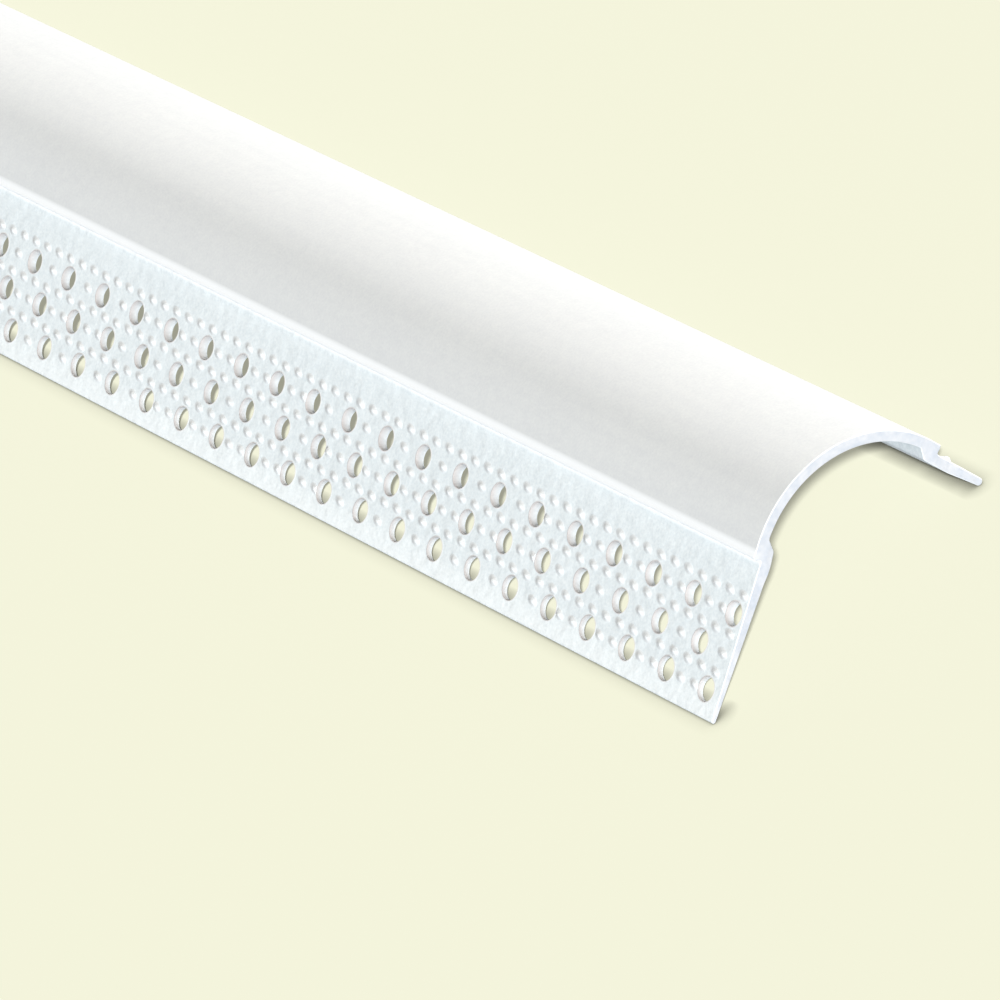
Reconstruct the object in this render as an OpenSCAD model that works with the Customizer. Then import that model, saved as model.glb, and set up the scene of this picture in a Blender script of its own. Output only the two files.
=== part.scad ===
/* [Stock] */
// Length of the bead as sold, cut square at both ends
length = 2438.4; // [300:0.1:3048]

/* [Nose] */
// Outer radius of the bullnose
nose_r = 19.05; // [16:0.05:40]
// Wall thickness of the bullnose
nose_wall = 1.6; // [1.2:0.1:2]
// Angle that the bullnose turns through
nose_span = 115; // [106:1:120]
// Radius of the rolled lip where the nose ends
lip_r = 0.6; // [0.4:0.05:0.8]
// How far the lip stands proud of the nose
lip_proud = 0.1; // [0.05:0.05:0.4]

/* [Flanges] */
// Angle between the two flanges, sprung in from a square corner so that they hug the wall
flange_angle = 77; // [72:1:90]
// Depth of the step from the nose down to the face of a flange, which the joint compound fills
step_depth = 1.25; // [0.8:0.05:1.4]
// Width of the root, the stiff corner inside the step, measured along a flange
root_w = 6.4; // [5.8:0.1:7.8]
// Width of the long flange, from the end of the nose to its tip
long_w = 22.9; // [21:0.1:40]
// Thickness of the root of the long flange
long_root_t = 1.85; // [1.75:0.05:2.4]
// Thickness of the long flange where it leaves its root
long_t = 1.65; // [1.4:0.05:1.75]
// Thickness of the long flange at its tip
long_tip_t = 0.65; // [0.5:0.05:1.2]
// Width of the short flange, from the end of the nose to its tip
short_w = 9.3; // [9:0.1:40]
// Thickness of the short flange at its root
short_t = 1.55; // [1.4:0.05:1.75]
// Thickness of the short flange at its tip
short_tip_t = 1.1; // [0.6:0.05:1.2]

/* [Holes] */
// Diameter of a hole
hole_d = 3.4; // [2.4:0.1:4]
// Distance between the holes of a row
hole_pitch = 9.525; // [8:0.025:16]
// Distance between the rows
row_pitch = 5.45; // [4.8:0.05:6]
// Number of rows in the long flange
long_rows = 3; // [1:1:3]
// Number of rows in the short flange
short_rows = 1; // [0:1:1]
// Distance from the tip of a flange to the centres of its outermost row
edge_dist = 3.9; // [3.2:0.1:4.6]
// Shift of each row against the one above it, as a share of the hole pitch
row_shift = 0.45; // [0:0.05:1]
// Least distance from an end of the bead to the centre of a hole
end_dist = 2.3; // [2.2:0.1:20]

/* [Hidden] */
vinyl = "whitesmoke";
// How far the solids reach into each other where they join, and how far a cutter runs past a face
overlap = 0.2;
cut_clear = 5;
// How far the lip hangs over the step, as a share of its radius
lip_over = lip_r / 4;
// Radius of a flange's round tip, as a share of its thickness there: a hair over half
tip_share = 0.525;
// Where the root starts, bends and ends, from the end of the nose, as shares of its width
root_bends = [-0.5, -0.24, 0.045, 0.25, 0.5];
half_span = nose_span / 2;
half_angle = flange_angle / 2;

// A flange is drawn in its own frame, centred on the nose, with x down the flange and y outwards.
// Turning that frame by flange_turn sets it on the right-hand side of the section.
flange_turn = half_angle - 90;
// Angle from the flange's normal to the end of the nose
end_turn = half_span + flange_turn;
nose_end_x = nose_r * sin(end_turn);
nose_end_y = nose_r * cos(end_turn);
face_y = nose_end_y - step_depth;

// The round tip of a flange of width w and tip thickness t: its radius and its centre, in the flange's frame
function tip_r(t) = tip_share * t;
function tip_x(w, t) = nose_end_x + w - tip_r(t);
function tip_y(t) = face_y - t / 2;
// How far out from and up from the nose's centre that centre lies in the upright section
function tip_out(w, t) = tip_y(t) * cos(half_angle) + tip_x(w, t) * sin(half_angle);
function tip_up(w, t) = tip_y(t) * sin(half_angle) - tip_x(w, t) * cos(half_angle);

// The bead lies on its two round tips, so the section leans towards the shorter flange
across = [tip_out(short_w, short_tip_t) + tip_out(long_w, long_tip_t),
    tip_up(short_w, short_tip_t) - tip_up(long_w, long_tip_t)];
lean = atan2(across[1], across[0]) - asin((tip_r(short_tip_t) - tip_r(long_tip_t)) / norm(across));
// Where the tips' centres lie from the nose's centre once the section leans: sideways, then up
short_side = tip_out(short_w, short_tip_t) * cos(lean) + tip_up(short_w, short_tip_t) * sin(lean);
long_side = tip_up(long_w, long_tip_t) * sin(lean) - tip_out(long_w, long_tip_t) * cos(lean);
short_height = tip_up(short_w, short_tip_t) * cos(lean) - tip_out(short_w, short_tip_t) * sin(lean);
rest_mid = (short_side + tip_r(short_tip_t) + long_side - tip_r(long_tip_t)) / 2;
rest_drop = short_height - tip_r(short_tip_t);

// The curved wall of the nose, a ring kept between the two ends of its span
module nose_wall_2d() {
    reach = 2 * nose_r;
    intersection() {
        difference() {
            circle(nose_r, $fn = 180);
            circle(nose_r - nose_wall, $fn = 180);
        }
        polygon([[0, 0], [reach * sin(half_span), reach * cos(half_span)], [reach, reach],
            [-reach, reach], [-reach * sin(half_span), reach * cos(half_span)]]);
    }
}

// One flange with its rounded tip, its root and the rolled lip of the nose above the step
module flange_2d(w, root_t, t, tip_t) {
    tip = tip_x(w, tip_t);
    rotate(flange_turn) {
        polygon([
            [nose_end_x + root_bends[0] * root_w, nose_end_y - nose_wall + overlap],
            [nose_end_x, nose_end_y - overlap],
            [nose_end_x, face_y],
            [tip, face_y],
            [tip, face_y - tip_t],
            [nose_end_x + root_bends[4] * root_w, face_y - t],
            [nose_end_x + root_bends[3] * root_w, face_y - root_t],
            [nose_end_x + root_bends[2] * root_w, face_y - root_t],
            [nose_end_x + root_bends[1] * root_w, face_y - t]
        ]);
        translate([tip, tip_y(tip_t)]) circle(tip_r(tip_t), $fn = 24);
        translate([nose_end_x - lip_r + lip_over, nose_end_y + lip_proud - lip_r]) circle(lip_r, $fn = 32);
    }
}

// The plain stock before it is punched, with z along its length
module plain_stock() {
    translate([0, 0, -length / 2]) {
        linear_extrude(length) nose_wall_2d();
        linear_extrude(length) flange_2d(short_w, short_t, short_t, short_tip_t);
        mirror([1, 0, 0]) linear_extrude(length) flange_2d(long_w, long_root_t, long_t, long_tip_t);
    }
}

// The rows of holes through one flange, drawn in the flange's frame with z along the bead
module flange_holes(w, t, rows) {
    rotate(flange_turn)
        for (row = [0 : 1 : rows - 1]) {
            first = end_dist + (ceil(row * row_shift) - row * row_shift) * hole_pitch;
            count = floor((length - first - end_dist) / hole_pitch) + 1;
            for (i = [0 : count - 1])
                translate([nose_end_x + w - edge_dist - (rows - 1 - row) * row_pitch,
                    face_y - t - cut_clear, length / 2 - first - i * hole_pitch])
                    rotate([-90, 0, 0])
                        cylinder(d = hole_d, h = t + 2 * cut_clear, $fn = 32);
        }
}

// The whole bead in the section's frame, with z along its length
module punched_stock() {
    difference() {
        plain_stock();
        flange_holes(short_w, short_t, short_rows);
        mirror([1, 0]) flange_holes(long_w, long_root_t, long_rows);
    }
}

module bead() {
    color(vinyl)
        translate([0, -rest_mid, -rest_drop])
            rotate([90, 0, 90])
                rotate(-lean)
                    punched_stock();
}

bead();
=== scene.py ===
import math
import bpy
import numpy as np
from mathutils import Matrix
from mathutils.geometry import delaunay_2d_cdt


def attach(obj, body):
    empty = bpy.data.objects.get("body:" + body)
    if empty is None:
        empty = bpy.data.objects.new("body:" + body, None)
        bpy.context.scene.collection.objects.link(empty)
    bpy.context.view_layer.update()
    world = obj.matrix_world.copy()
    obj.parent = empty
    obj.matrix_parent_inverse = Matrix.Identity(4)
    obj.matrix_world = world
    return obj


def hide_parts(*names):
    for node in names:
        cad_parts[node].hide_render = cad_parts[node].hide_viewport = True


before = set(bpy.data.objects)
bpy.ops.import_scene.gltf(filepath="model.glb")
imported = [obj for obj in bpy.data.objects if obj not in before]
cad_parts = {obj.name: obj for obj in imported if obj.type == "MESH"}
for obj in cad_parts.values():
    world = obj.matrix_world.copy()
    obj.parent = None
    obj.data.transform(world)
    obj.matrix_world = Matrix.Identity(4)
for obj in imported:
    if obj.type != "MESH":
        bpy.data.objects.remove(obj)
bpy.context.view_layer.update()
print("stage 1: the packed bead is loaded")

# sizes of the stock in millimetres, as in the solid, but for a finer lip that doesn't hang over the step
stock = dict(length=2438.4, noseR=19.05, noseWall=1.6, noseSpan=115.0, lipR=0.4, lipProud=0.1,
             flangeAngle=77.0, step=1.25, rootW=6.4, rootBends=(-0.5, -0.24, 0.045, 0.25, 0.5), rootReach=0.2,
             tipShare=0.525, holeR=1.7, pitch=9.525, rowPitch=5.45, edgeDist=3.9, rowShift=0.45, endDist=2.3)
flanges = dict(long=dict(width=22.9, rootT=1.85, thick=1.65, tipT=0.65, rows=3),
               short=dict(width=9.3, rootT=1.55, thick=1.55, tipT=1.1, rows=1))
mm = 0.001     # metres in a millimetre

# where the section's main points lie in a flange's own frame, x down the flange and y outwards
halfAngle = math.radians(stock["flangeAngle"] / 2)
endTurn = math.radians(stock["noseSpan"] / 2 - 90) + halfAngle
noseEnd = np.array([math.sin(endTurn), math.cos(endTurn)]) * stock["noseR"]
faceY = noseEnd[1] - stock["step"]
innerR = stock["noseR"] - stock["noseWall"]


def turned(points, angle):
    # each point turned about the origin by an angle in radians, counter-clockwise
    c, s = math.cos(angle), math.sin(angle)
    return np.stack([points[..., 0] * c - points[..., 1] * s, points[..., 0] * s + points[..., 1] * c], -1)


def mirrored(points, side):
    # the short flange is on the right of the section, and the long one is on the left, as a mirror has it
    return points * np.array([-1.0 if side == "long" else 1.0, 1.0])


def onSide(points, side):
    # from a flange's own frame to the upright section
    return mirrored(turned(np.asarray(points, float), halfAngle - math.pi / 2), side)


def offSide(points, side):
    # from the upright section back to a flange's own frame
    return turned(mirrored(points, side), math.pi / 2 - halfAngle)


# the bead lies on both round tips, so the upright section leans over by the slope of the line under them
tipR = {side: flanges[side]["tipT"] * stock["tipShare"] for side in flanges}
tipX = {side: noseEnd[0] + flanges[side]["width"] - tipR[side] for side in flanges}
tipY = {side: faceY - flanges[side]["tipT"] / 2 for side in flanges}
tipCentre = {side: onSide([tipX[side], tipY[side]], side) for side in flanges}
across = tipCentre["short"] - tipCentre["long"]
tipTurn = math.asin((tipR["short"] - tipR["long"]) / float(np.linalg.norm(across)))
lean = math.atan2(across[1], across[0]) - tipTurn
leaned = {side: turned(tipCentre[side], -lean) for side in flanges}
restAt = np.array([(leaned["short"][0] + tipR["short"] + leaned["long"][0] - tipR["long"]) / 2,
                   leaned["short"][1] - tipR["short"]])


def toRow(section, along):
    # section points and distances along the bead to the frame that the bead is stored in, in metres
    yz = turned(np.asarray(section, float), -lean) - restAt
    x = np.broadcast_to(along, yz.shape[:-1])
    return np.concatenate([x[..., None], yz], -1) * mm


def arc(centre, radius, start, stop, count):
    # count points on a circle, from one angle to another in degrees; radius may be a pair for an ellipse
    t = np.radians(np.linspace(start, stop, count))
    return np.asarray(centre) + np.stack([np.cos(t), np.sin(t)], -1) * radius


def rounded(points, radii, count=5):
    # every corner of an open line gives way to an arc tangent to both its sides
    out = [points[:1]]
    for before, corner, after, radius in zip(points[:-2], points[1:-1], points[2:], radii):
        a, b = before - corner, after - corner
        a, b = a / np.linalg.norm(a), b / np.linalg.norm(b)
        half = math.acos(float(np.clip(a @ b, -1, 1))) / 2
        middle = (a + b) / np.linalg.norm(a + b)
        centre = corner + middle * radius / math.sin(half)
        first, last = corner + a * radius / math.tan(half), corner + b * radius / math.tan(half)
        t = np.linspace(0, 1, count)[:, None]
        ray = (first - centre) * (1 - t) + (last - centre) * t
        out.append(centre + ray / np.linalg.norm(ray, axis=1, keepdims=True) * radius)
    return np.concatenate(out + [points[-1:]])


# how the section's edges are finished, in millimetres, how many points its arcs have, and where the painted
# highlight along each lip and foot starts and ends
edge = dict(foot=0.3, rootBend=0.8, crease=3.0, armpit=0.5, armpitLead=3.0, bevel=0.12, footPoints=6,
            tipPoints=11, lipPoints=14, nosePoints=112, innerPoints=80, ridge=(-1.5, -1.1, 0.35, 0.75),
            ridgeHighlightDepth=0.05, sharp=35.0, faceWeight=90)


def outerEnd():
    # from the face of a flange up the step, round the lip and on to the nose's outer circle.
    # The two centres and the point where the circles meet make a triangle whose three sides are known
    lipAt = np.array([noseEnd[0] - stock["lipR"], noseEnd[1] + stock["lipProud"] - stock["lipR"]])
    reach = float(np.linalg.norm(lipAt))
    base = (reach ** 2 + stock["noseR"] ** 2 - stock["lipR"] ** 2) / (2 * reach)
    bearing = math.atan2(lipAt[0], lipAt[1]) - math.acos(base / stock["noseR"])
    meet = np.array([math.sin(bearing), math.cos(bearing)]) * stock["noseR"]
    high = math.degrees(math.atan2(meet[1] - lipAt[1], meet[0] - lipAt[0]))
    lip = arc(lipAt, stock["lipR"], 0, high, edge["lipPoints"])
    # the face keeps a point where the painted highlight past the foot has faded out
    strip = noseEnd[0] + edge["ridge"][3]
    corner = np.array([[strip, faceY], [noseEnd[0], faceY], lip[0]])
    foot = rounded(corner, [edge["foot"]], edge["footPoints"])[:-1]
    return np.concatenate([foot, lip]), math.degrees(bearing)


def innerEnd(side):
    # from the inner face of a flange over its root, a straight-sided swelling, to the nose's inner circle
    flange = flanges[side]
    bends = noseEnd[0] + np.array(stock["rootBends"]) * stock["rootW"]
    plainY, rootY = faceY - flange["thick"], faceY - flange["rootT"]
    start = np.array([bends[1], plainY])
    stop = np.array([bends[0], noseEnd[1] - stock["noseWall"] + stock["rootReach"]])
    run = stop - start
    a, b, c = run @ run, start @ run, start @ start - innerR ** 2
    meet = start + run * (math.sqrt(b * b - a * c) - b) / a     # where the swelling's side meets the circle
    further = meet[0] - edge["armpitLead"]
    line = [[tipX[side], faceY - flange["tipT"]], [bends[4], plainY], [bends[3], rootY], [bends[2], rootY],
            start, meet, [further, math.sqrt(innerR ** 2 - further ** 2)]]
    radii = [edge["crease"], edge["rootBend"], edge["rootBend"], edge["rootBend"], edge["armpit"]]
    if plainY == rootY:     # a root as thick as the flange has no swelling
        del line[2:4], radii[1:3]
    points = rounded(np.array(line), radii)[1:-1]
    return points, math.degrees(math.atan2(points[-1, 0], points[-1, 1]))


def tipEnd(side):
    # the round edge of a flange, from its outer face to its inner one
    return arc([tipX[side], tipY[side]], [tipR[side], flanges[side]["tipT"] / 2], 90, -90, edge["tipPoints"])


def noseArc(radius, first, last, count):
    # points on the nose's circle between two angles from the upright, in degrees
    t = np.radians(np.linspace(first, last, count))
    return np.stack([np.sin(t), np.cos(t)], -1) * radius


# the section, closed: short tip, inner side from short to long, long tip, outer side from long to short
outer, outerBearing = outerEnd()
innerShort, shortBearing = innerEnd("short")
innerLong, longBearing = innerEnd("long")
normalTurn = 90 - stock["flangeAngle"] / 2     # from the upright to a flange's normal, in degrees
inside = noseArc(innerR, normalTurn + shortBearing, -normalTurn - longBearing, edge["innerPoints"])[1:-1]
lipTurn = normalTurn + outerBearing
outside = noseArc(stock["noseR"], -lipTurn, lipTurn, edge["nosePoints"])[1:-1]
parts = [onSide(tipEnd("short"), "short"),
         onSide(innerShort, "short"), inside, onSide(innerLong, "long")[::-1],
         onSide(tipEnd("long"), "long")[::-1],
         onSide(outer, "long"), outside, onSide(outer, "short")[::-1]]
ofNose = [0, 0, 1, 0, 0, 1, 1, 1]     # 1 for the parts that have the nose's finish
section = np.concatenate(parts)
starts = np.cumsum([0] + [len(part) for part in parts])
partNose = np.repeat(ofNose, np.diff(starts)).astype(float)
footCount = edge["footPoints"] + 1
partNose[starts[5]:starts[5] + footCount] = 0     # the foot of each step belongs to its flange
partNose[starts[8] - footCount:] = 0

# how near each outer point is to its ridge, as its share of the painted highlight: 1 on the lip and the foot,
# falling to 0 on both sides
ridge = np.zeros(len(section))
for side in flanges:
    local = offSide(section, side)
    share = np.interp(local[:, 0] - noseEnd[0], edge["ridge"], [0, 1, 1, 0])
    ridge = np.maximum(ridge, np.where(local[:, 1] > faceY - edge["ridgeHighlightDepth"], share, 0))


def insetLine(points, depth):
    # a closed line moved inwards along the mean normal of its two sides at each point
    ahead = np.roll(points, -1, 0) - points
    ahead /= np.linalg.norm(ahead, axis=1, keepdims=True)
    mean = ahead + np.roll(ahead, 1, 0)
    mean /= np.linalg.norm(mean, axis=1, keepdims=True)
    return points + np.stack([mean[:, 1], -mean[:, 0]], -1) * depth


def within(points, line):
    # which points lie inside a closed line: a level ray from such a point crosses it an odd number of times
    tiny = 1e-12     # keeps a level side, which no ray crosses, from a division by nought
    a, b = line[None], np.roll(line, -1, 0)[None]
    p = points[:, None]
    spans = (a[..., 1] > p[..., 1]) != (b[..., 1] > p[..., 1])
    rise = np.where(b[..., 1] == a[..., 1], tiny, b[..., 1] - a[..., 1])
    crossing = a[..., 0] + (p[..., 1] - a[..., 1]) * (b[..., 0] - a[..., 0]) / rise
    return (spans & (crossing > p[..., 0])).sum(1) % 2 == 1


def filled(points, rings):
    # triangles, as numbers of the points, over all the ground inside closed rings of points
    insideOnly, leastGap = 1, 1e-6
    found = delaunay_2d_cdt(points.tolist(), [], rings, insideOnly, leastGap, True)
    source = np.array([origins[0] for origins in found[3]])
    return source[np.array(found[2])]


def bands(rings):
    # the quads between each ring of point numbers and the next one
    following = np.roll(rings, -1, -1)
    quads = [rings[:, :-1], following[:, :-1], following[:, 1:], rings[:, 1:]]
    return np.stack(quads, -1).reshape(-1, 4)


def circlePoints(count):
    # evenly spaced points on a circle with a radius of 1
    t = np.arange(count) * 2 * math.pi / count
    return np.stack([np.cos(t), np.sin(t)], -1)


def meshFrom(name, verts, faces, sharp, hard=None, **attributes):
    # a mesh object from vertex rows and a list of face arrays. An edge is a crease where its faces turn
    # by more than sharp, in degrees, or where both its vertices are hard
    mesh = bpy.data.meshes.new(name)
    corners = np.concatenate([f.ravel() for f in faces])
    sizes = np.concatenate([np.full(len(f), f.shape[1]) for f in faces])
    mesh.vertices.add(len(verts))
    mesh.vertices.foreach_set("co", np.ascontiguousarray(verts, dtype=np.float32).ravel())
    mesh.loops.add(len(corners))
    mesh.loops.foreach_set("vertex_index", corners.astype(np.int32))
    mesh.polygons.add(len(sizes))
    mesh.polygons.foreach_set("loop_start", (np.cumsum(sizes) - sizes).astype(np.int32))
    for key, values in attributes.items():
        layer = mesh.attributes.new(key, "FLOAT", "POINT")
        layer.data.foreach_set("value", np.ascontiguousarray(values, dtype=np.float32))
    mesh.update(calc_edges=True)
    mesh.validate()
    mesh.shade_smooth()
    mesh.set_sharp_from_angle(angle=math.radians(sharp))
    if hard is not None:
        ends = np.empty(2 * len(mesh.edges), np.int32)
        mesh.edges.foreach_get("vertices", ends)
        crease = np.empty(len(mesh.edges), bool)
        mesh.edges.foreach_get("use_edge_sharp", crease)
        mesh.edges.foreach_set("use_edge_sharp", crease | hard[ends.reshape(-1, 2)].all(1))
    piece = bpy.data.objects.new(name, mesh)
    bpy.context.scene.collection.objects.link(piece)
    return piece


def triangleCount(piece):
    # a face makes two triangles fewer than it has corners
    return sum(len(polygon.vertices) - 2 for polygon in piece.data.polygons)


def holeRows(side):
    # for each row of holes: how far down the flange it is, how far from the near end it starts, and its count
    rows = flanges[side]["rows"]
    for row in range(rows):
        slip = row * stock["rowShift"]
        first = stock["endDist"] + (math.ceil(slip) - slip) * stock["pitch"]
        count = int((stock["length"] - first - stock["endDist"]) // stock["pitch"]) + 1
        down = noseEnd[0] + flanges[side]["width"] - stock["edgeDist"] - (rows - 1 - row) * stock["rowPitch"]
        yield down, first, count


def holeCentres(side):
    # all the holes of a flange as (distance from the near end, distance down the flange)
    return np.concatenate([np.stack([first + np.arange(count) * stock["pitch"], np.full(count, down)], -1)
                           for down, first, count in holeRows(side)])


def nearestHole(points, side):
    # for every point (along, down) of a flange, the centre of the nearest hole and how far off it is
    best, gap = np.zeros_like(points), np.full(points.shape[:-1], np.inf)
    for down, first, count in holeRows(side):
        number = np.clip(np.round((points[..., 0] - first) / stock["pitch"]), 0, count - 1)
        here = np.stack([first + number * stock["pitch"], np.full_like(number, down)], -1)
        distance = np.linalg.norm(points - here, axis=-1)
        closer = distance < gap
        best[closer], gap[closer] = here[closer], distance[closer]
    return best, gap


def fromFlange(along, down, out, side):
    # (distance from the near end, down the flange, out from its face) to the frame that the bead is stored in
    flat = np.stack(np.broadcast_arrays(down, faceY + np.asarray(out, float)), -1)
    return toRow(onSide(flat, side), stock["length"] / 2 - along)


# a hole's raised rim: its reach past the hole, its height, and how far its crest is from the hole
punch = dict(points=28, rim=0.26, burr=0.05, mouth=0.05)


def punchedFaces(side, edges, corners, base):
    # the outer and inner faces of a flange around its holes, and the holes' walls, as vertices and faces.
    # A hole has three rings of points: its rim's outer edge, the rim's crest and the foot of the wall.
    # Edges holds each face's two sides in the flange's frame, and corners the numbers of its four corners
    centres = holeCentres(side)
    ringR = stock["holeR"] + np.array([punch["rim"], punch["mouth"], 0])
    circles = circlePoints(punch["points"]) * ringR[:, None, None]
    flat = centres[:, None, None] + circles     # hole, ring, point, (along, down)
    (tipDown, tipOut), (footDown, footOut) = edges[1]
    out = np.zeros(flat.shape[:3])
    out[:, 1] = punch["burr"]
    out[:, 2] = (tipOut - faceY) + (flat[:, 2, :, 1] - tipDown) * (footOut - tipOut) / (footDown - tipDown)
    verts = fromFlange(flat[..., 0], flat[..., 1], out, side).reshape(-1, 3)
    index = base + np.arange(len(verts)).reshape(out.shape)
    walls = bands(index)
    faces = [walls if side == "long" else walls[:, ::-1]]
    sector = 2 * math.pi / punch["points"]
    nearCut, farCut = edge["bevel"], stock["length"] - edge["bevel"]
    for ring, (tipAt, footAt), cornerNumbers in zip((0, 2), edges[:, :, 0], corners):
        frameCorners = np.array([[nearCut, tipAt], [nearCut, footAt], [farCut, footAt], [farCut, tipAt]])
        points = np.concatenate([frameCorners, flat[:, ring].reshape(-1, 2)])
        rings = np.arange(len(frameCorners), len(points)).reshape(len(centres), -1).tolist()
        triangles = filled(points, [[0, 1, 2, 3]] + rings)
        middle = points[triangles].mean(1)
        hole, gap = nearestHole(middle, side)
        bearing = np.arctan2(middle[:, 1] - hole[:, 1], middle[:, 0] - hole[:, 0]) % sector - sector / 2
        apothem = ringR[ring] * math.cos(sector / 2)     # from a hole's centre square to a side of its ring
        outsideHole = gap * np.cos(bearing) > apothem
        known = np.concatenate([cornerNumbers, index[:, ring].ravel()])
        kept = known[triangles[outsideHole]]
        reverse = (side == "short") != (ring == 2)
        faces.append(kept[:, ::-1] if reverse else kept)
    return verts, faces


def beadPiece():
    # the section carried straight along the stock, its edges eased at the two cuts and its flanges punched
    half, bevel, n = stock["length"] / 2, edge["bevel"], len(section)
    eased = insetLine(section, bevel)
    verts = np.concatenate([toRow(eased, half), toRow(section, half - bevel),
                            toRow(section, bevel - half), toRow(eased, -half)])
    lap = np.arange(n)
    ahead = (lap + 1) % n
    # the points that the four sides to be punched start from
    outerFrom = dict(long=starts[5] - 1, short=n - 1)
    innerFrom = dict(long=starts[4] - 1, short=starts[1] - 1)
    plain = np.ones(n, bool)
    plain[[*outerFrom.values(), *innerFrom.values()]] = False
    faces = []
    for level in range(3):
        a, b = level * n, (level + 1) * n
        quads = np.stack([a + lap, a + ahead, b + ahead, b + lap], -1)
        faces.append(quads[plain] if level == 1 else quads)
    outline = turned(eased, -lean)
    cap = filled(outline, [lap[::-1].tolist()])
    cap = cap[within(outline[cap].mean(1), outline)]
    faces += [cap, 3 * n + cap[:, ::-1]]
    # near holds each point's share of the painted highlight on the ridges
    nose, near = np.tile(partNose, 4), np.tile(ridge, 4)
    hard, mouth = np.zeros(4 * n, bool), np.zeros(4 * n)
    for side in flanges:
        outTip, outFoot = outerFrom[side], (outerFrom[side] + 1) % n
        inFoot, inTip = innerFrom[side], innerFrom[side] + 1
        if side == "short":
            outTip, outFoot, inFoot, inTip = outFoot, outTip, inTip, inFoot
        pairs = ((outTip, outFoot), (inTip, inFoot))
        edges = np.array([offSide(section[list(pair)], side) for pair in pairs])
        corners = [[n + tip, n + foot, 2 * n + foot, 2 * n + tip] for tip, foot in pairs]
        more, moreFaces = punchedFaces(side, edges, corners, len(verts))
        verts = np.concatenate([verts, more])
        faces += moreFaces
        ringNumber = np.arange(len(more)) // punch["points"] % 3
        nose, near = (np.concatenate([values, np.zeros(len(more))]) for values in (nose, near))
        hard = np.concatenate([hard, ringNumber == 0])     # where each rim leaves the face
        # each rim's crest gets painted shade in the mouth colour, fading to nought at the rim's outer edge
        # and at the wall's foot
        mouth = np.concatenate([mouth, ringNumber == 1])
    grouped = [np.concatenate([f for f in faces if f.shape[1] == size]) for size in (3, 4)]
    piece = meshFrom("bead", verts, grouped, edge["sharp"], hard=hard,
                     noseShare=nose, ridgeShare=near, mouthShare=mouth)
    even = piece.modifiers.new("flatFaces", "WEIGHTED_NORMAL")
    even.keep_sharp = True
    even.weight = edge["faceWeight"]
    return piece


bead = beadPiece()
print("stage 2: the bead has", triangleCount(bead), "triangles")

# the raised points between the holes, pressed in straight lines with a pitch of their own. Radius, and skew,
# which moves the tops, have a value along the bead and one down it. Slip shifts each line on the last one
nubs = dict(points=10, rings=[1.0, 0.7, 0.48, 0.25], radius=(1.4, 0.8), height=0.5, power=1.3, sink=0.02,
            skew=(0.33, 0.0), turn=-16.0, pitch=3.27, start=1.43, slip=0.28, lineStep=2.77, holeClear=0.45,
            endClear=0.5, sawClear=0.03, sharp=70.0, paintedNubShade=0.35,
            fields={"nubs.upper": dict(side="long", lines=[0, 1, 2], firstLine=7.3),
                    "nubs.lower": dict(side="long", lines=[3, 4, 5], firstLine=7.3),
                    "nubs.short": dict(side="short", lines=[0, 1], firstLine=4.7)})


def nubPiece(name, side, lines, firstLine):
    # each point is an oval bump, height times ((1 + cos(pi times the share of its radius)) / 2) to a power
    number = int(stock["length"] / nubs["pitch"])
    line, place = np.meshgrid(lines, np.arange(number), indexing="ij")
    along = nubs["start"] + line * nubs["slip"] + place * nubs["pitch"]
    centre = np.stack([along.ravel(), (firstLine + line * nubs["lineStep"]).ravel()], -1)
    cut = edge["bevel"] + nubs["sawClear"]
    endClear = cut + nubs["endClear"]
    rimR = stock["holeR"] + punch["rim"]
    centre = centre[(centre[:, 0] > endClear) & (centre[:, 0] < stock["length"] - endClear)]
    centre = centre[nearestHole(centre, side)[1] > rimR + nubs["holeClear"]]
    around, shares, radius = nubs["points"], np.array(nubs["rings"]), np.array(nubs["radius"])
    topShift = -np.array(nubs["skew"]) * radius
    oval = turned(circlePoints(around) * radius, math.radians(nubs["turn"]))
    flat = centre[:, None, None] + oval * shares[:, None, None] + (topShift * (1 - shares)[:, None])[:, None]
    flat = flat.reshape(len(centre), -1, 2)
    # the saw has cut through the flanks at the ends, and the punch through the flanks near a hole
    flat[..., 0] = np.clip(flat[..., 0], cut, stock["length"] - cut)
    hole, gap = nearestHole(flat, side)
    tiny = 1e-6     # keeps a point at a hole's centre from a division by nought
    pushed = hole + (flat - hole) * (rimR / np.maximum(gap, tiny))[..., None]
    flat = np.where((gap < rimR)[..., None], pushed, flat)
    rise = nubs["height"] * (0.5 + 0.5 * np.cos(math.pi * shares)) ** nubs["power"]
    rise[0] = -nubs["sink"]
    rises = np.append(np.repeat(rise, around), nubs["height"])
    flat = np.concatenate([flat, centre[:, None] + topShift], 1)
    verts = fromFlange(flat[..., 0], flat[..., 1], rises[None].repeat(len(centre), 0), side).reshape(-1, 3)
    index = np.arange(len(verts)).reshape(len(centre), -1)     # the top's number is the last of each point's
    rings = index[:, :-1].reshape(len(centre), len(shares), around)
    last = rings[:, -1]
    top = np.broadcast_to(index[:, -1:], last.shape)
    fans = np.stack([last, np.roll(last, -1, -1), top], -1).reshape(-1, 3)
    faces = [bands(rings), fans, rings[:, 0, ::-1]]
    if side == "short":
        faces = [f[:, ::-1] for f in faces]
    paintedNubShade = (np.arange(len(rises)) >= around) * nubs["paintedNubShade"]     # painted shade: the raised part is darker, which tones down its highlight and deepens its shaded flank
    return meshFrom(name, verts, faces, nubs["sharp"],
                    noseShare=np.zeros(len(verts)), mouthShare=np.tile(paintedNubShade, len(centre)))


nubPieces = [nubPiece(name, **field) for name, field in nubs["fields"].items()]
for piece in nubPieces:
    print("stage 3:", piece.name, triangleCount(piece), "triangles")


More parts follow.
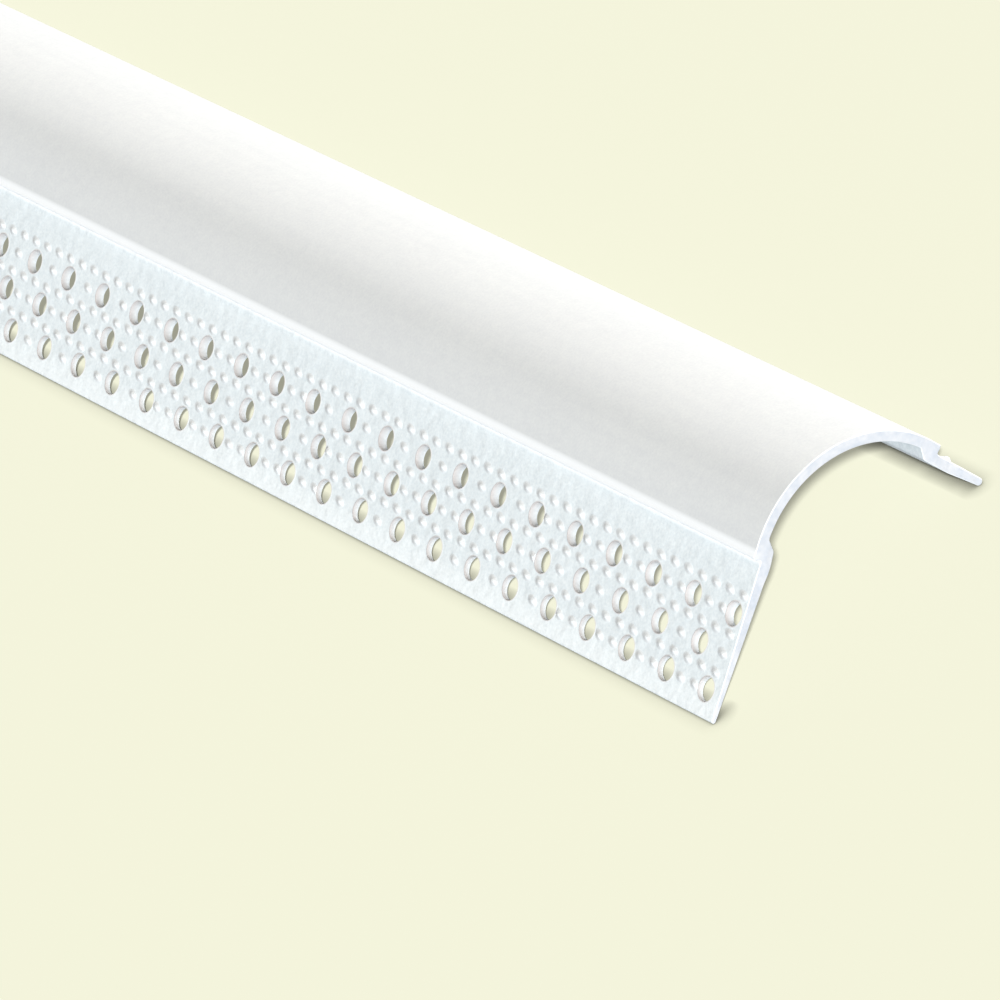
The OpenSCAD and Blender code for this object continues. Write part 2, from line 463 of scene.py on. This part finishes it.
class Wire:
    # one socket of a shader graph, so that sums are written as sums
    def __init__(self, graph, socket):
        self.graph, self.socket = graph, socket

    def maths(self, operation, a, b):
        return self.graph.node("ShaderNodeMath", dict(operation=operation), {0: a, 1: b})

    def __add__(self, other):
        return self.maths("ADD", self, other)

    def __radd__(self, other):
        return self.maths("ADD", other, self)

    def __sub__(self, other):
        return self.maths("SUBTRACT", self, other)

    def __rsub__(self, other):
        return self.maths("SUBTRACT", other, self)

    def __mul__(self, other):
        return self.maths("MULTIPLY", self, other)

    def __rmul__(self, other):
        return self.maths("MULTIPLY", other, self)

    def above(self, other):
        # 1 where the value is above the other one, and 0 elsewhere
        return self.maths("GREATER_THAN", self, other)

    def about(self, amount):
        # a noise, which has 0.5 as its middle value, swung about nought by an amount
        return (self - 0.5) * amount


class Graph:
    # a shader graph that is made of calls
    def __init__(self, tree):
        self.tree = tree
        tree.nodes.clear()

    def node(self, kind, settings=None, inputs=None, output=0):
        # a node of one type with its settings, and its inputs set to values or joined to wires
        made = self.tree.nodes.new(kind)
        for key, value in (settings or {}).items():
            setattr(made, key, value)
        for key, value in (inputs or {}).items():
            if isinstance(value, Wire):
                self.tree.links.new(value.socket, made.inputs[key])
            else:
                made.inputs[key].default_value = value
        return Wire(self, made.outputs[output]) if len(made.outputs) else made

    def mix(self, share, a, b):
        # two colours mixed by a share from 0 to 1
        return self.node("ShaderNodeMix", dict(data_type="RGBA"), {0: share, 6: a, 7: b}, 2)

    def noise(self, place, scale, detail=2.0, rough=0.5):
        sockets = {"Vector": place, "Scale": scale, "Detail": detail, "Roughness": rough}
        return self.node("ShaderNodeTexNoise", {}, sockets)

    def scaled(self, place, factors):
        return self.node("ShaderNodeVectorMath", dict(operation="MULTIPLY"), {0: place, 1: factors})

    def attribute(self, name):
        return self.node("ShaderNodeAttribute", dict(attribute_name=name), output=2)

    def ramp(self, value, ends, results):
        # a value from one end to the other gives what lies between the two results, and no more than those
        sockets = [value, *ends, *results]
        return self.node("ShaderNodeMapRange", {}, dict(enumerate(sockets)))


# the vinyl's colours run from dim to full with the mottle. A noise has a scale, a detail and a roughness. The
# mottle gains two amounts at the two heights in paleBelow, in metres: a paler strip at the tip, and painted
# shade higher up the flange, standing for the broad shading of the raised points
looks = dict(nose=(0.775, 0.785, 0.775, 1), noseDim=(0.70, 0.71, 0.715, 1), flange=(0.94, 0.975, 0.975, 1),
             # the ridge colour is a painted highlight, and the mouth colour is painted shade for the hole
             # rims and the raised points
             flangeDim=(0.745, 0.80, 0.82, 1), ridge=(0.97, 0.98, 0.985, 1), mouth=(0.68, 0.635, 0.615, 1),
             # the cut edge colour is a painted highlight on the eased edges at the cuts
             cut=(0.75, 0.76, 0.78, 1), cutDim=(0.60, 0.64, 0.70, 1), cutEdgeHighlight=(0.86, 0.89, 0.91, 1),
             grain=(2600, 3.0, 0.6), cloud=(45, 3.0), lines=(900, 2.0), blotch=(650, 2.0), lumps=(420, 2.0),
             lineStretch=(0.004, 1.0, 1.0), mottle=dict(grain=1.6, blotch=0.8, cloud=0.5, lines=0.5),
             flangeMottle=0.54, flangeGrain=0.65, cutMottle=2.5, paleBelow=(0.0016, 0.0034),
             paleTipAndShade=(0.27, -0.24), rough=0.42, rougher=dict(grain=0.12, flange=0.12, cut=0.1), ior=1.53,
             relief=dict(grain=0.06, lines=0.02, lumps=1.25), reliefDepth=0.0002, edgeFrom=0.9, cutFrom=0.1)


def vinylLook():
    # satin white vinyl: a matt grain, faint lines along the extrusion, a bluer embossed flange and sawn ends,
    # with painted highlights on the ridges and the cut edges, and painted shade on the hole rims, the raised
    # points and the flange higher up
    material = bpy.data.materials.new("whiteVinyl")
    material.use_nodes = True
    g = Graph(material.node_tree)
    place = g.node("ShaderNodeTexCoord", output=3)
    nose, ridgeShare, mouth = g.attribute("noseShare"), g.attribute("ridgeShare"), g.attribute("mouthShare")
    noises = ("grain", "cloud", "blotch", "lumps")
    grain, cloud, blotch, lumps = (g.noise(place, *looks[name]) for name in noises)
    lines = g.noise(g.scaled(place, looks["lineStretch"]), *looks["lines"])
    mottle = looks["mottle"]
    mottled = (0.5 + grain.about(mottle["grain"]) + blotch.about(mottle["blotch"])
               + cloud.about(mottle["cloud"]) + lines.about(mottle["lines"]))
    noseColour = g.mix(mottled, looks["noseDim"], looks["nose"])
    along = g.node("ShaderNodeSeparateXYZ", {}, {0: place}, 0)
    up = g.node("ShaderNodeSeparateXYZ", {}, {0: place}, 2)
    # paler at the tip and darker higher up, where the darker part is painted shade for the raised points
    paleTipAndShadeShare = g.ramp(up, looks["paleBelow"], looks["paleTipAndShade"])
    flangeShare = 0.5 + mottled.about(looks["flangeMottle"]) + grain.about(looks["flangeGrain"]) + paleTipAndShadeShare
    flangeColour = g.mix(flangeShare, looks["flangeDim"], looks["flange"])
    # painted highlight along the lips and the feet of the steps
    withRidgeHighlight = g.mix(ridgeShare, g.mix(nose, flangeColour, noseColour), looks["ridge"])
    # painted shade on the holes' rims and walls and on the raised points
    faces = g.mix(mouth, withRidgeHighlight, looks["mouth"])
    fromMiddle = g.node("ShaderNodeMath", dict(operation="ABSOLUTE"), {0: along})
    atEdge = fromMiddle.above((stock["length"] / 2 - edge["bevel"] * looks["edgeFrom"]) * mm)
    atCut = fromMiddle.above((stock["length"] / 2 - edge["bevel"] * looks["cutFrom"]) * mm)
    sawn = g.mix(0.5 + blotch.about(looks["cutMottle"]), looks["cutDim"], looks["cut"])
    # the eased edges next to each cut get the painted highlight
    colour = g.mix(atCut, g.mix(atEdge, faces, looks["cutEdgeHighlight"]), sawn)
    more, relief = looks["rougher"], looks["relief"]
    rough = looks["rough"] + grain * more["grain"] + (1 - nose) * more["flange"] + atCut * more["cut"]
    height = grain * relief["grain"] + lines * relief["lines"] + (lumps - 0.5) * (1 - nose) * relief["lumps"]
    bump = g.node("ShaderNodeBump", {}, {"Strength": 1.0, "Distance": looks["reliefDepth"], "Height": height})
    sockets = {"Base Color": colour, "Roughness": rough, "IOR": looks["ior"], "Normal": bump}
    shader = g.node("ShaderNodeBsdfPrincipled", {}, sockets)
    g.node("ShaderNodeOutputMaterial", {}, {"Surface": shader})
    return material


vinyl = vinylLook()
for piece in [bead] + nubPieces:
    piece.data.materials.append(vinyl)
    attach(piece, "root")
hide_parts("bead")
print("stage 4: the vinyl is on")

# the camera sees the floor and the sky in the backdrop's colour, and what they throw on the bead is held low
studio = dict(backdrop=(0.913, 0.913, 0.723, 1), evenShare=0.9, evenLevel=0.418, bounce=(0.08, 0.08, 0.08, 1),
              reach=60.0, contact=0.0025, contactSamples=16, sky=(0.985, 0.99, 1.0, 1), skyLevel=0.08)
# distant lamps, some for the bead alone and one for the floor alone. Toward points from the bead to the lamp
lamps = dict(bead=dict(key=dict(level=3.95, angle=12.0, toward=(-0.08, 0.95, 0.27)),
                       near=dict(level=3.28, angle=20.0, toward=(0.84, -0.34, 0.43)),
                       front=dict(level=0.4, angle=20.0, toward=(0.55, -0.80, 0.25), tint=(0.65, 1.0, 1.3)),
                       top=dict(level=0.80, angle=120.0, toward=(0.01, -0.1, 0.99), tint=(1.07, 1.0, 0.88)),
                       far=dict(level=0.25, angle=60.0, toward=(-0.85, -0.35, 0.40)),
                       under=dict(level=1.4, angle=120.0, toward=(0.2, 0.1, -0.97))),
             floor=dict(cast=dict(level=32.6, angle=2.8, toward=(0.7580, -0.2900, 0.5850))))


def floorPiece():
    # a level square at the height of the tips, with a painted contact shadow close under the bead
    r = studio["reach"]
    corners = np.array([[-r, -r, 0], [r, -r, 0], [r, r, 0], [-r, r, 0]])
    piece = meshFrom("floor", corners, [np.array([[0, 1, 2, 3]])], edge["sharp"])
    material = bpy.data.materials.new("paleFloor")
    material.use_nodes = True
    g = Graph(material.node_tree)
    seen = g.node("ShaderNodeLightPath", output=0)
    # the occlusion paints a contact shadow into the floor's colours where the bead stands close
    clear = g.node("ShaderNodeAmbientOcclusion", dict(samples=studio["contactSamples"]),
                   {"Color": studio["backdrop"], "Distance": studio["contact"]})
    lit = g.node("ShaderNodeBsdfDiffuse", {}, {"Color": g.mix(seen, studio["bounce"], clear)})
    even = g.node("ShaderNodeEmission", {}, {"Color": clear, "Strength": studio["evenLevel"]})
    shader = g.node("ShaderNodeMixShader", {}, {0: seen * studio["evenShare"], 1: lit, 2: even})
    g.node("ShaderNodeOutputMaterial", {}, {"Surface": shader})
    piece.data.materials.append(material)
    return piece


def skyWorld():
    # a faint even sky
    world = bpy.data.worlds.new("studio")
    bpy.context.scene.world = world
    world.use_nodes = True
    g = Graph(world.node_tree)
    seen = g.node("ShaderNodeLightPath", output=0)
    strength = studio["skyLevel"] + seen * (1 - studio["skyLevel"])
    colour = g.mix(seen, studio["sky"], studio["backdrop"])
    sky = g.node("ShaderNodeBackground", {}, {"Color": colour, "Strength": strength})
    g.node("ShaderNodeOutputWorld", {}, {"Surface": sky})


def lamp(name, receivers, level, angle, toward, tint=(1.0, 1.0, 1.0)):
    # a distant lamp that shines on its own receivers alone, its third axis turned to where it stands
    data = bpy.data.lights.new(name, "SUN")
    data.energy = level
    data.angle = math.radians(angle)
    data.color = tint
    made = bpy.data.objects.new(name, data)
    bpy.context.scene.collection.objects.link(made)
    back = np.array(toward) / np.linalg.norm(toward)
    side = np.cross([0, 0, 1], back)
    side /= np.linalg.norm(side)
    made.matrix_world = Matrix(np.stack([side, np.cross(back, side), back], 1).tolist()).to_4x4()
    lit = bpy.data.collections.new(name + "Receivers")
    for piece in receivers:
        lit.objects.link(piece)
    made.light_linking.receiver_collection = lit


paleFloor = floorPiece()
receivers = dict(bead=[bead] + nubPieces, floor=[paleFloor])
for group, groupLamps in lamps.items():
    for name, settings in groupLamps.items():
        lamp(name + "Lamp", receivers[group], **settings)
skyWorld()

# the camera stands where a straight-line fit of the photo's edges puts it, with its focal length in pixels
view = dict(focal=10693.87, photoSide=1000, sensor=36.0, clip=(0.05, 200.0),
            at=(2.3202971, -0.4241200, 0.8172885),
            right=(0.54948328, 0.71987909, -0.42407808), down=(0.27715895, -0.63588286, -0.72030264),
            ahead=(-0.7881948, 0.27825722, -0.54892794))
lens = bpy.data.cameras.new("camera")
lens.sensor_width = view["sensor"]
lens.lens = view["focal"] / view["photoSide"] * lens.sensor_width
lens.clip_start, lens.clip_end = view["clip"]
camera = bpy.data.objects.new("camera", lens)
bpy.context.scene.collection.objects.link(camera)
axes = np.stack([view["right"], -np.array(view["down"]), -np.array(view["ahead"])], 1)
camera.matrix_world = Matrix.Translation(view["at"]) @ Matrix(axes.tolist()).to_4x4()
bpy.context.scene.camera = camera
bpy.context.scene.view_settings.view_transform = "Standard"
print("stage 5: the studio and the camera stand")
